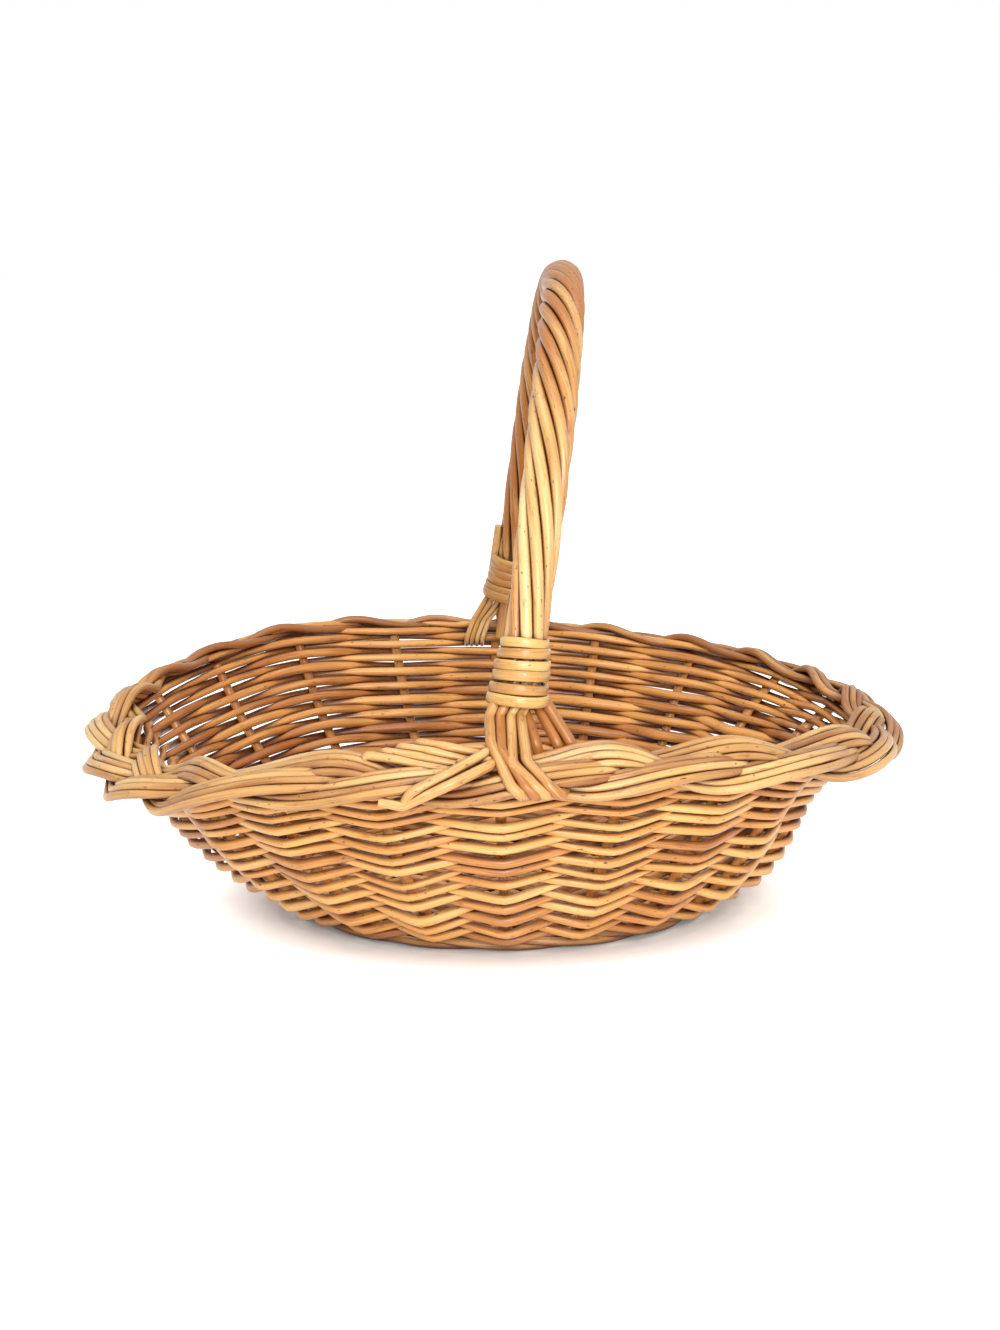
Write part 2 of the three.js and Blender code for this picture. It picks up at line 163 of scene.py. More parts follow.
def even(path, spacing):
    """The same path with corners at an even spacing."""
    length = lengths_along(path)
    places = np.linspace(0, length[-1], max(int(length[-1] / spacing), 3))
    return np.stack([np.interp(places, length, path[:, k]) for k in range(3)], -1)


CORNER_STEPS = 9
CORNER_SHARE = 0.45  # the most of a run that a rounded corner takes


def creased(points, rounding, spacing=1.2):
    """Straight runs with tightly rounded corners, the way a rod takes a sharp bend."""
    p = np.asarray(points, float)
    t = np.linspace(0, 1, CORNER_STEPS)[:, None]
    out = [p[:1]]
    for before, corner, after in zip(p[:-2], p[1:-1], p[2:]):
        short = min(np.linalg.norm(before - corner), np.linalg.norm(after - corner))
        cut = min(rounding, CORNER_SHARE * short)
        a = corner + unit(before - corner) * cut
        b = corner + unit(after - corner) * cut
        out.append((1 - t) ** 2 * a + 2 * t * (1 - t) * corner + t**2 * b)
    out.append(p[-1:])
    return even(np.vstack(out), spacing)


NEAR_SHARE = 0.3  # the share of a reach that keeps the full value


def near_angle(angle, middle, reach):
    """1 at an angle round the basket, falling smoothly to 0 a reach away from it."""
    away = np.abs(np.mod(angle - middle + math.pi, TAU) - math.pi)
    return 1 - smoothstep(NEAR_SHARE * reach, reach, away)


# Rods: round or flattened tubes, with the coordinates that the willow material reads

SHARP_ANGLE = math.radians(50)
GRAIN_SEED = 1000
GRAIN_LENGTH = 4000  # each rod starts somewhere along this much grain


class Bundle:
    """Rods that become one mesh: corners, faces, straightened-rod coordinates and tints."""

    def __init__(self):
        self.corners = []
        self.faces = []
        self.coords = []
        self.tints = []
        self.count = 0

    def rod(self, path, radius, normals, tint, closed=False, flat=1.0, sides=10, seed=0, inner=0.0,
            boxy=1.0):
        """One tube along a path.

        flat thins it along the normals, inner paints shade on the side against them, and boxy below 1
        squares its outline.
        """
        path = np.asarray(path, float)
        n = len(path)
        radius = np.broadcast_to(np.asarray(radius, float), (n,))
        tint = np.broadcast_to(np.asarray(tint, float), (n,))
        if closed:
            along = unit(np.roll(path, -1, 0) - np.roll(path, 1, 0))
        else:
            along = unit(np.gradient(path, axis=0))
        normals = np.broadcast_to(np.asarray(normals, float), (n, 3))
        normal = unit(normals - along * np.sum(normals * along, 1, keepdims=True))
        across = np.cross(normal, along)
        turn = TAU * np.arange(sides) / sides
        wide, deep = (np.sign(f) * np.abs(f) ** boxy for f in (np.sin(turn), np.cos(turn)))
        a = wide[None, :] * radius[:, None]
        b = deep[None, :] * (radius * flat)[:, None]
        rings = path[:, None, :] + a[..., None] * across[:, None, :] + b[..., None] * normal[:, None, :]
        offset = np.random.default_rng(GRAIN_SEED + seed).uniform(0, GRAIN_LENGTH)
        grain = np.broadcast_to((lengths_along(path) + offset)[:, None], a.shape)
        i = np.arange(n if closed else n - 1)[:, None]
        k = np.arange(sides)[None, :]
        j = (i + 1) % n
        m = (k + 1) % sides
        quads = np.stack([i * sides + k, i * sides + m, j * sides + m, j * sides + k], -1)
        base = self.count
        self.faces += (quads.reshape(-1, 4) + base).tolist()
        if not closed:
            self.faces.append([base + q for q in reversed(range(sides))])
            self.faces.append([base + (n - 1) * sides + q for q in range(sides)])
        self.corners.append(rings.reshape(-1, 3))
        self.coords.append(np.stack([a, b, grain], -1).reshape(-1, 3))
        # Painted shade: inner darkens the side of the rod that faces against its normals
        self.tints.append((tint[:, None] - inner * (1 - np.cos(turn)) / 2).ravel())
        self.count += n * sides

    def build(self, name, slot, nodes):
        """The mesh, with the slot's willow, in place of the nodes that it stands for."""
        mesh = bpy.data.meshes.new(name)
        mesh.from_pydata((np.vstack(self.corners) * MM).tolist(), [], self.faces)
        coords = mesh.attributes.new("rod_coord", "FLOAT_VECTOR", "POINT")
        coords.data.foreach_set("vector", (np.vstack(self.coords) * MM).ravel())
        tints = mesh.attributes.new("rod_tint", "FLOAT", "POINT")
        tints.data.foreach_set("value", np.concatenate(self.tints))
        mesh.polygons.foreach_set("use_smooth", [True] * len(mesh.polygons))
        mesh.set_sharp_from_angle(angle=SHARP_ANGLE)
        mesh.materials.append(willows[slot])
        obj = bpy.data.objects.new(name, mesh)
        bpy.context.scene.collection.objects.link(obj)
        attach(obj, "root")
        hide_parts(*nodes)


# A rod's slow swells and small joints: spacing, share of the radius, and a joint's place and half length
SWELL_EVERY = 24
SWELL = 0.05
JOINT_EVERY = 47
JOINT_SWELL = 0.05
JOINT_PLACE = 20
JOINT_HALF = 1.6
JOINT_SHIFT = 13  # from one seed to the next


def knobbly(length, radius, seed, swell=SWELL):
    """A rod's radius along its length."""
    from_joint = np.mod(length + JOINT_SHIFT * seed, JOINT_EVERY) - JOINT_PLACE
    joints = np.exp(-(from_joint / JOINT_HALF) ** 2)
    return radius * (1 + swell * wander(length, SWELL_EVERY, seed) + JOINT_SWELL * joints)


# The wall's middle surface, the border's frame and the handle's arch

def plan_point(angle, spread):
    """A point of the plan at an angle, from the base's edge at spread 0 to the mouth at 1."""
    half_length = lerp(BASE_LENGTH, MOUTH_LENGTH, spread) / 2
    half_width = lerp(BASE_WIDTH, MOUTH_WIDTH, spread) / 2
    fullness = 1 - FULL_END * np.cos(angle) * spread
    x = half_length * np.cos(angle) + BASE_SHIFT * (1 - spread)
    return np.stack([x, half_width * np.sin(angle) * fullness, 0 * x], -1)


BASE_MIDDLE = np.array([BASE_SHIFT, 0.0, 0.0])


def base_point(angle, share):
    """A point of the base, a share of the way from its middle to its edge."""
    return lerp(BASE_MIDDLE, plan_point(angle, 0.0), np.asarray(share, float)[..., None])


def wall_point(angle, rise):
    """A point of the wall at an angle, from its foot at rise 0 to the top of the weave at 1."""
    angle, rise = np.broadcast_arrays(np.asarray(angle, float), np.asarray(rise, float))
    left = np.maximum(-np.cos(angle), 0) ** 2
    right = np.maximum(np.cos(angle), 0) ** 2
    lower = (LEFT_SKEW * left + RIGHT_SKEW * right) * (1 - 2 * rise)
    bulge = WALL_BULGE * rise * (1 - rise) * (1 + LEFT_FULLER * left - RIGHT_LEANER * right + lower)
    point = plan_point(angle, rise + bulge)
    height = lerp(SIDE_HEIGHT, END_HEIGHT, np.cos(angle) ** 2)
    point[..., 2] = lerp(WALL_FOOT, height, rise)
    return point


def wall_up(angle, rise):
    return unit(wall_point(angle, rise + SMALL) - wall_point(angle, rise - SMALL))


def wall_normal(angle, rise):
    around = wall_point(angle + SMALL, rise) - wall_point(angle - SMALL, rise)
    return unit(np.cross(around, wall_up(angle, rise)))


SLANT_TOP = 1.2
SLANT_STEPS = 60
SLANT_RISES = np.linspace(0, SLANT_TOP, SLANT_STEPS + 1)


def slant_table(angle):
    """Length up the slant at each of the table's rises, for every angle."""
    points = wall_point(np.asarray(angle)[:, None], SLANT_RISES[None, :])
    steps = np.linalg.norm(np.diff(points, axis=1), axis=2)
    return np.concatenate([np.zeros((len(points), 1)), np.cumsum(steps, axis=1)], axis=1)


def rise_at(table, distance):
    return np.array([np.interp(d, row, SLANT_RISES) for row, d in zip(table, distance)])


# Where the border lies higher or lower than the weave's even top: angle, reach, lift
BORDER_LIFTS = [
    (math.radians(-158), math.radians(34), -6.0),
    (math.radians(150), math.radians(58), 8.5),
    (math.radians(22), math.radians(42), 4.5),
]

BorderFrame = namedtuple("BorderFrame", "around outward middle across face")


def border_lift(angle):
    return sum(lift * near_angle(angle, middle, reach) for middle, reach, lift in BORDER_LIFTS)


def border_frame(angle):
    """The plait's middle line at an angle, with the directions along, across and off its tilted face."""
    angle = np.asarray(angle, float)
    around = wall_point(angle + SMALL, 1.0) - wall_point(angle - SMALL, 1.0)
    around[..., 2] = 0
    around = unit(around)
    outward = np.stack([around[..., 1], -around[..., 0], 0 * around[..., 0]], -1)
    lift = np.asarray(PLAIT_UP + border_lift(angle))
    middle = wall_point(angle, 1.0) + outward * PLAIT_OUT + UP * lift[..., None]
    across = outward * math.cos(PLAIT_TILT) - UP * math.sin(PLAIT_TILT)
    face = outward * math.sin(PLAIT_TILT) + UP * math.cos(PLAIT_TILT)
    return BorderFrame(around, outward, middle, across, face)


def on_border(degrees, across, height):
    """A place on the border: degrees round the mouth, across the plait, above its middle."""
    border = border_frame(np.array(math.radians(degrees)))
    return border.middle + border.across * across + border.face * height


NEAR_FOOT, FAR_FOOT = (border_frame(np.array(FIRST_STAKE + k * math.pi)) for k in range(2))
FEET_MIDDLE = (NEAR_FOOT.middle + FAR_FOOT.middle) / 2 + [HANDLE_SHIFT, 0, 0]
TOWARD_NEAR = unit((NEAR_FOOT.middle - FAR_FOOT.middle) * [1, 1, 0])
ARCH_HEIGHT = HANDLE_TOP - HANDLE_RADIUS - FEET_MIDDLE[2]
ARCH_STEPS = 800


def arch_point(turn):
    turn = np.asarray(turn, float)[..., None]
    height = ARCH_HEIGHT * np.sin(turn)
    lean = height * math.tan(HANDLE_LEAN) * np.array([1.0, 0, 0])
    return FEET_MIDDLE + TOWARD_NEAR * (HANDLE_SPAN / 2) * np.cos(turn) + lean + height * UP


ARCH_PATH = arch_point(np.linspace(0, math.pi, ARCH_STEPS + 1))
ARCH_LENGTHS = lengths_along(ARCH_PATH)
ARCH_LENGTH = ARCH_LENGTHS[-1]
ARCH_ALONG = unit(np.gradient(ARCH_PATH, axis=0))
ARCH_SIDE = unit(np.cross(ARCH_ALONG[0], ARCH_ALONG[ARCH_STEPS // 2]))


def arch_frame(distance):
    """The arch's middle, its direction and its outward side at distances from the near foot."""
    point = np.stack([np.interp(distance, ARCH_LENGTHS, ARCH_PATH[:, k]) for k in range(3)], -1)
    along = unit(np.stack([np.interp(distance, ARCH_LENGTHS, ARCH_ALONG[:, k]) for k in range(3)], -1))
    return point, along, -np.cross(ARCH_SIDE, along)


# Willow: varnished rods, paler or browner from rod to rod, with grain, specks, a satin sheen and painted
# shade in the crevices

# Noise on a rod: cycles a metre across, through and along it, then detail
SLOW_NOISE = ((120, 120, 22), 2.0)
GRAIN_NOISE = ((1500, 1500, 45), 3.0)
STAIN_NOISE = ((420, 420, 90), 3.0)
SPECK_NOISE = ((900, 900, 330), 1.0)

# How much of each shows, from where to where in its noise, and its colour
SLOW_AMOUNT = 0.9
GRAIN_AMOUNT = 0.8
SHADE_STOPS = (0.05, 0.5, 0.95)
STAIN_AMOUNT = 0.7
STAIN_STOPS = (0.62, 0.76)
STAIN_COLOUR = (0.55, 0.36, 0.22, 1.0)
SPECK_AMOUNT = 0.85
SPECK_STOPS = (0.70, 0.77)
SPECK_COLOUR = (0.07, 0.028, 0.01, 1.0)
# Painted shade in the crevices, darkest where nearby rods hide the most light: samples, stops and colour
PAINTED_SHADE_SAMPLES = 6
PAINTED_SHADE_STOPS = (0.32, 0.78)
PAINTED_SHADE_COLOUR = (0.18, 0.085, 0.04, 1.0)
BLACK = (0, 0, 0)
WHITE = (1, 1, 1)

# Varnish and relief
ROUGHNESS_SPREAD = 0.2
COAT = 0.28
COAT_ROUGHNESS = 0.24
SPECULAR = 0.45
BUMP_STRENGTH = 0.35
BUMP_DEPTH = 0.4 * MM
SPECK_DENT = -0.6

# Each kind of willow: dark, middle and pale colour, roughness, reach of the painted shade in its crevices
WILLOWS = {
    "weaver_willow": ((0.45, 0.15, 0.033), (0.84, 0.4, 0.103), (0.98, 0.63, 0.23), 0.44, 13),
    "stake_willow": ((0.46, 0.15, 0.03), (0.78, 0.32, 0.075), (0.92, 0.48, 0.14), 0.36, 5),
    "border_willow": ((0.36, 0.135, 0.036), (0.69, 0.37, 0.118), (0.88, 0.58, 0.24), 0.42, 9),
    "handle_willow": ((0.47, 0.175, 0.036), (0.76, 0.45, 0.162), (0.92, 0.67, 0.31), 0.38, 3.5),
    "binding_willow": ((0.50, 0.23, 0.06), (0.74, 0.43, 0.13), (0.90, 0.62, 0.24), 0.36, 4.5),
    "base_willow": ((0.30, 0.11, 0.028), (0.58, 0.27, 0.08), (0.78, 0.45, 0.165), 0.5, 10),
}


def willow(name, dark, middle, pale, roughness, painted_shade_reach):
    """A willow material, which takes each rod's tint and its straightened coordinates from the mesh."""
    material = bpy.data.materials.new(name)
    material.use_nodes = True
    tree = material.node_tree
    link = tree.links.new
    shader = tree.nodes["Principled BSDF"]

    def node(kind, **values):
        made = tree.nodes.new(kind)
        for key, value in values.items():
            setattr(made, key, value)
        return made

    def noise(vector, stretch, detail):
        stretched = node("ShaderNodeVectorMath", operation="MULTIPLY")
        stretched.inputs[1].default_value = stretch
        link(vector, stretched.inputs[0])
        made = node("ShaderNodeTexNoise")
        made.inputs["Scale"].default_value = 1.0
        made.inputs["Detail"].default_value = detail
        link(stretched.outputs["Vector"], made.inputs["Vector"])
        return made.outputs["Fac"]

    def ramp(fac, stops, colours):
        made = node("ShaderNodeValToRGB")
        elements = made.color_ramp.elements
        while len(elements) < len(stops):
            elements.new(0.5)
        for element, position, colour in zip(elements, stops, colours):
            element.position = position
            element.color = (*colour, 1)
        link(fac, made.inputs["Fac"])
        return made.outputs["Color"]

    def mix(blend, fac, a, b):
        """Colour a blended with the plain colour b."""
        made = node("ShaderNodeMix", data_type="RGBA", blend_type=blend)
        sockets = {socket.name: socket for socket in made.inputs if socket.enabled}
        link(fac, sockets["Factor"])
        link(a, sockets["A"])
        sockets["B"].default_value = b
        return next(socket for socket in made.outputs if socket.enabled)

    def combine(operation, a, b):
        made = node("ShaderNodeMath", operation=operation)
        for socket, value in zip(made.inputs, (a, b)):
            if isinstance(value, float):
                socket.default_value = value
            else:
                link(value, socket)
        return made.outputs["Value"]

    def times(value, amount):
        return combine("MULTIPLY", value, amount)

    def about_zero(fac, amount):
        return times(combine("SUBTRACT", fac, 0.5), amount)

    coord = node("ShaderNodeAttribute", attribute_name="rod_coord").outputs["Vector"]
    tint = node("ShaderNodeAttribute", attribute_name="rod_tint").outputs["Fac"]
    slow = noise(coord, *SLOW_NOISE)
    grain = noise(coord, *GRAIN_NOISE)
    stains = noise(coord, *STAIN_NOISE)
    specks = noise(coord, *SPECK_NOISE)
    shade = combine("ADD", tint, about_zero(slow, SLOW_AMOUNT))
    shade = combine("ADD", shade, about_zero(grain, GRAIN_AMOUNT))
    colour = ramp(shade, SHADE_STOPS, (dark, middle, pale))
    stain = ramp(stains, STAIN_STOPS, (BLACK, WHITE))
    colour = mix("MULTIPLY", times(stain, STAIN_AMOUNT), colour, STAIN_COLOUR)
    speck = ramp(specks, SPECK_STOPS, (BLACK, WHITE))
    colour = mix("MIX", times(speck, SPECK_AMOUNT), colour, SPECK_COLOUR)
    # Painted shade: the colour darkens in the crevices, as far as the rods around hide the light
    painted_shade_occlusion = node("ShaderNodeAmbientOcclusion", samples=PAINTED_SHADE_SAMPLES)
    painted_shade_occlusion.inputs["Distance"].default_value = painted_shade_reach * MM
    depth = ramp(painted_shade_occlusion.outputs["AO"], PAINTED_SHADE_STOPS, (WHITE, BLACK))
    colour = mix("MULTIPLY", depth, colour, PAINTED_SHADE_COLOUR)
    link(colour, shader.inputs["Base Color"])
    rough = combine("ADD", roughness - ROUGHNESS_SPREAD / 2, times(grain, ROUGHNESS_SPREAD))
    link(rough, shader.inputs["Roughness"])
    shader.inputs["Coat Weight"].default_value = COAT
    shader.inputs["Coat Roughness"].default_value = COAT_ROUGHNESS
    shader.inputs["Specular IOR Level"].default_value = SPECULAR
    bump = node("ShaderNodeBump")
    bump.inputs["Strength"].default_value = BUMP_STRENGTH
    bump.inputs["Distance"].default_value = BUMP_DEPTH
    link(combine("ADD", grain, times(speck, SPECK_DENT)), bump.inputs["Height"])
    link(bump.outputs["Normal"], shader.inputs["Normal"])
    return material


willows = {name: willow(name, *look) for name, look in WILLOWS.items()}


# Base: sticks crossed in the middle, two chasing weavers and the foot wale

LONG_STICKS = 3
CROSS_STICKS = 5
SPOKES = 2 * (LONG_STICKS + CROSS_STICKS)
SPOKE_Z = 7.5
SPOKE_END = 0.93
STICK_RADIUS = 2.2
STICK_PITCH = 5
STICK_LAYER = 2.35  # half the step between the crossed layers
STICK_STEPS = 14
STICK_TINT = 0.35
STICK_TINT_SPREAD = 0.3
FAN_START = 0.25
WEAVE_STEP = 0.1  # along a weaver, as a share of the gap between stakes or sticks
BASE_ROUNDS = 7
BASE_WEAVE_START = 0.22
BASE_WEAVE_END = 0.94
BASE_WAVE = 4.3
BASE_WEAVER_RADIUS = 2.2
BASE_TINT = 0.45
BASE_TINT_SPREAD = 0.25
BASE_TINT_LENGTH = 160


def spoke_point(spoke, share):
    point = base_point(TAU * np.asarray(spoke, float) / SPOKES, share)
    point[..., 2] = SPOKE_Z
    return point


def base_stick(name, start, end, middle, seed):
    """A stick from one spoke's place to another's, straight through the middle."""
    few = [spoke_point(start, SPOKE_END), spoke_point(start, FAN_START), *middle]
    few += [spoke_point(end, FAN_START), spoke_point(end, SPOKE_END)]
    path = spline(few, STICK_STEPS)
    bundle = Bundle()
    radius = knobbly(lengths_along(path), STICK_RADIUS, seed)
    bundle.rod(path, radius, UP, STICK_TINT + STICK_TINT_SPREAD * rng.random(), seed=seed)
    bundle.build("round_" + name, "base_willow", [name])


def make_base():
    for k in range(LONG_STICKS):
        spoke = k - (LONG_STICKS - 1) / 2
        reach = (CROSS_STICKS + 1) * STICK_PITCH / 2
        middle = [(BASE_SHIFT + x, spoke * STICK_PITCH, SPOKE_Z + STICK_LAYER) for x in (reach, -reach)]
        name = f"base_stick_long_{k + 1}"
        base_stick(name, spoke, SPOKES / 2 - spoke, middle, LONG_STICK_SEED + k)
    for k in range(CROSS_STICKS):
        spoke = k - (CROSS_STICKS - 1) / 2
        reach = (LONG_STICKS + 1) * STICK_PITCH / 2
        x = BASE_SHIFT - spoke * STICK_PITCH
        middle = [(x, y, SPOKE_Z - STICK_LAYER) for y in (reach, -reach)]
        name = f"base_stick_cross_{k + 1}"
        base_stick(name, SPOKES / 4 + spoke, -SPOKES / 4 - spoke, middle, CROSS_STICK_SEED + k)
    for rod in range(2):
        step = np.arange(0, BASE_ROUNDS * SPOKES + WEAVE_STEP / 10, WEAVE_STEP)
        row = 2 * step / SPOKES + rod
        share = lerp(BASE_WEAVE_START, BASE_WEAVE_END, row / (2 * BASE_ROUNDS + 1))
        path = spoke_point(step, share)
        path[:, 2] += BASE_WAVE * np.cos(math.pi * (step + rod))
        length = lengths_along(path)
        seed = BASE_WEAVER_SEED + rod
        radius = knobbly(length, BASE_WEAVER_RADIUS, seed)
        tint = BASE_TINT + BASE_TINT_SPREAD * wander(length, BASE_TINT_LENGTH, rod)
        bundle = Bundle()
        bundle.rod(path, radius, UP, tint, seed=seed)
        name = f"base_weaver_{rod + 1}"
        bundle.build("round_" + name, "weaver_willow", [name])


WALE_STRANDS = 3
WALE_STEPS = 480
WALE_TWISTS = 5
WALE_RADIUS = 2.3
WALE_SWAY = 3.6
WALE_LIFT = 1.6
WALE_INSET = 5
WALE_TINT = 0.4
WALE_TINT_STEP = 0.12


def make_wale():
    angle = np.linspace(0, TAU, WALE_STEPS, endpoint=False)
    outward = np.stack([np.cos(angle), np.sin(angle), 0 * angle], -1)
    bundle = Bundle()
    for strand in range(WALE_STRANDS):
        phase = WALE_TWISTS * angle + TAU * strand / WALE_STRANDS
        path = plan_point(angle, 0.0) + outward * (WALE_SWAY * np.sin(phase) - WALE_INSET)[:, None]
        path[:, 2] = WALE_RADIUS + WALE_LIFT * (1 + np.cos(phase))
        tint = WALE_TINT + WALE_TINT_STEP * strand
        bundle.rod(path, WALE_RADIUS, UP, tint, closed=True, seed=WALE_SEED + strand)
    bundle.build("twisted_foot_wale", "base_willow", ["foot_wale"])


# Stakes: from inside the base's edge, up the wall and into the border

STAKE_RADIUS = 2.9
STAKE_TAPER = (1.0, 0.86)
STAKE_START = 0.93
STAKE_BEND = 0.6
STAKE_TOP = 1.04
STAKE_STEPS = 40
STAKE_TINT = 0.25
STAKE_TINT_SPREAD = 0.5


def make_stakes():
    for k in range(STAKES):
        angle = FIRST_STAKE + TAU * k / STAKES
        seed = STAKE_SEED + k
        rise = np.linspace(0, STAKE_TOP + border_lift(angle) / SIDE_HEIGHT, STAKE_STEPS)
        path = wall_point(angle, rise)
        inner = base_point(np.array(angle), STAKE_START)
        inner[2] = WALL_FOOT
        path = np.vstack([inner, lerp(inner, path[0], STAKE_BEND), path])
        normals = np.vstack([-UP, -UP, wall_normal(np.full(STAKE_STEPS, angle), rise)])
        length = lengths_along(path)
        radius = knobbly(length, STAKE_RADIUS, seed) * lerp(*STAKE_TAPER, length / length[-1])
        bundle = Bundle()
        bundle.rod(path, radius, normals, STAKE_TINT + STAKE_TINT_SPREAD * rng.random(), seed=seed)
        name = f"stake_{k + 1:02d}"
        bundle.build("round_" + name, "stake_willow", [name])


# Wall weave: two chasing rods, in front of one stake and behind the next

FIRST_STEP = -14  # in stakes: the rods start below the first row
EXTRA_ROUNDS = 1.8
ROD_STEPS = 22  # a rod's length in stakes
ROD_STEPS_SPREAD = 4
LAST_STEPS = 6  # a rest shorter than this joins the rod before it
ROD_OVERLAP = 0.4
KINK = 0.985  # 1 would turn each bend round a stake into a sharp corner

# Near and far half of the wall, which run into each other between two sines of the angle:
# the weave's depth, and how far single rods stray up and down, in rows
FAR_FADE = (-0.2, 0.6)
WEAVE_WAVES = (6.4, 5.5)
ROD_STRAYS = (0.38, 0.1)
ROD_STRAY_SEED = 50
STAKE_STRAY = 0.25
STAKE_STRAY_SEED = 40
FAR_RISES = (0.38, 0.64)  # the far rows go up and down at the stakes: in the middle, more at the ends

# Rows lie wider apart low down, less so on the far half, and are flatter at the foot and the right end
LOW_EASE = 0.4
FAR_EVENER = 0.7
FOOT_WAVE = 0.7
FOOT_ROWS = 0.14
RIGHT_FLATTER = 0.25
RIGHT_END = (math.radians(-14), math.radians(45))

# Loosely woven places: angle, reach, share; and from where to where up the wall they begin
OPEN_PLACES = [
    (math.radians(150), math.radians(46), 0.9),
    (math.radians(14), math.radians(24), 0.4),
]
OPEN_FADE = (0.3, 0.7)
OPEN_SHADE = 0.25

# Thickness at the wall's foot and top, along a rod and at its ends
WEAVER_RADII = (2.46, 1.98)
FAR_THICKER = 0.12
OPEN_THINNER = 0.08
ROD_TAPER = (1.08, 0.94)
THICKNESS_SPREAD = 0.09
END_TAPER = 0.55
TAPER_STEPS = 1.2
TUCK = 2.0
TUCK_STEPS = 0.8

WEAVER_TINT = 0.55
WEAVER_TINT_SPREAD = 0.19
WEAVER_TINT_LIMITS = (0.05, 1.0)
# Painted shade on each weaver's inward side
WEAVER_INNER_PAINTED_SHADE = 0.2


def openness(angle):
    """How loosely the wall is woven: loosest at the left of the far side, less so at its right."""
    return sum(share * near_angle(angle, middle, reach) for middle, reach, share in OPEN_PLACES)


def stake_angle(step):
    return FIRST_STAKE + TAU * step / STAKES


def weave_path(step, rod):
    """Middle line, wall normal and radius of one chasing rod at places counted in stakes."""
    angle = stake_angle(step)
    table = slant_table(angle)
    full = np.array([np.interp(1.0, SLANT_RISES, row) for row in table]) + border_lift(angle)
    row = 2 * step / STAKES + rod
    rows = 2 * WALL_ROUNDS + 1
    swing = np.arcsin(KINK * np.cos(math.pi * (step + rod))) / math.asin(KINK)
    far = smoothstep(*FAR_FADE, np.sin(angle))
    loose = openness(angle) * smoothstep(*OPEN_FADE, row / rows)
    stray = STAKE_STRAY * wander(step, 1.0, STAKE_STRAY_SEED, STAKES)
    stray = stray + lerp(*ROD_STRAYS, far) * wander(step, 1.0, ROD_STRAY_SEED + rod)
    climb = FAR_RISES[0] + FAR_RISES[1] * (1 - np.sin(angle))
    stray = stray + climb * swing * far * (1 - loose)
    share = (row + stray) / rows
    share = share * (1 + LOW_EASE * (1 - FAR_EVENER * far) * (1 - share))
    rise = rise_at(table, lerp(WEAVE_START, full, share))
    normal = wall_normal(angle, rise)
    wave = lerp(*WEAVE_WAVES, far) * lerp(FOOT_WAVE, 1, smoothstep(0, FOOT_ROWS, share))
    wave = wave * (1 - RIGHT_FLATTER * near_angle(angle, *RIGHT_END))
    radius = lerp(*WEAVER_RADII, np.clip(share, 0, 1))
    radius = radius * (1 + FAR_THICKER * far) * (1 - OPEN_THINNER * loose)
    return wall_point(angle, rise) + normal * (wave * swing)[:, None], normal, radius


def on_far_half(step):
    return math.sin(stake_angle(step)) > 0


def joint_step(step, rod):
    """The next pass where a rod's end hides: inside a stake on the near half, outside it on the far one."""
    wanted = 0 if on_far_half(step) else 1
    return step + (step + rod + wanted) % 2


def tucked(step, from_end):
    """How far a rod's end at a step is tucked out of sight: outward on the far half, else inward."""
    return (1 - smoothstep(0, TUCK_STEPS, from_end)) * (1 if on_far_half(step) else -1)


def make_weave():
    total = int((WALL_ROUNDS + EXTRA_ROUNDS) * STAKES)
    for rod in range(2):
        pieces = [Bundle() for _ in range(WEAVER_PIECES)]
        start = joint_step(FIRST_STEP, rod)
        last = joint_step(total - 2, rod)
        seed = WEAVER_SEEDS[rod]
        while start < last:
            stakes = ROD_STEPS + int(rng.integers(-ROD_STEPS_SPREAD, ROD_STEPS_SPREAD + 1))
            end = joint_step(start + stakes, rod)
            if last - end < LAST_STEPS:
                end = last
            step = np.arange(start - ROD_OVERLAP, end + ROD_OVERLAP + WEAVE_STEP / 10, WEAVE_STEP)
            path, normal, radius = weave_path(step, rod)
            from_start = step - step[0]
            to_end = step[-1] - step
            path = path + normal * (TUCK * (tucked(start, from_start) + tucked(end, to_end)))[:, None]
            length = lengths_along(path)
            radius = knobbly(length, radius, seed) * lerp(*ROD_TAPER, length / length[-1])
            radius = radius * (1 + THICKNESS_SPREAD * rng.standard_normal())
            ends = smoothstep(0, TAPER_STEPS, np.minimum(from_start, to_end))
            radius = radius * lerp(END_TAPER, 1, ends)
            tint = np.clip(WEAVER_TINT + WEAVER_TINT_SPREAD * rng.standard_normal(), *WEAVER_TINT_LIMITS)
            tint = tint - OPEN_SHADE * np.minimum(openness(stake_angle(step)), 1)
            piece = int((start + end) / 2 / total * WEAVER_PIECES)
            pieces[piece].rod(path, radius, normal, tint, seed=seed, inner=WEAVER_INNER_PAINTED_SHADE)
            start = end
            seed += 1
        for k, bundle in enumerate(pieces):
            name = f"wall_weaver_{'ab'[rod]}{k + 1}"
            bundle.build("round_" + name, "weaver_willow", [name])


# Border: a three-strand plait of four rods a strand

BORDER_RADIUS = 2.15
BORDER_STEPS = 672
STRAND_RODS = 4
ROD_SPACING = 4.05
STRAND_SWAY = 8.2
STRAND_LIFT = 4.0
STRAND_ROLL = math.radians(32)
STRAND_CROWN = 1.4
STRAND_BUNCH = 0.15
STRAY_KNOTS = 32
SIDE_STRAY = 0.45
SIDE_STRAY_SEED = 60
HEIGHT_STRAY = 0.4

# The plait is slimmer and flatter on the far half, and swells at the left, at an angle with a reach
FAR_PLAIT = (0.0, 0.7)
FAR_SLIMMER = 0.35
FAR_FLATTER = 0.4
LEFT_LOOP = (math.radians(-168), math.radians(45))
LEFT_SWELL = 0.3

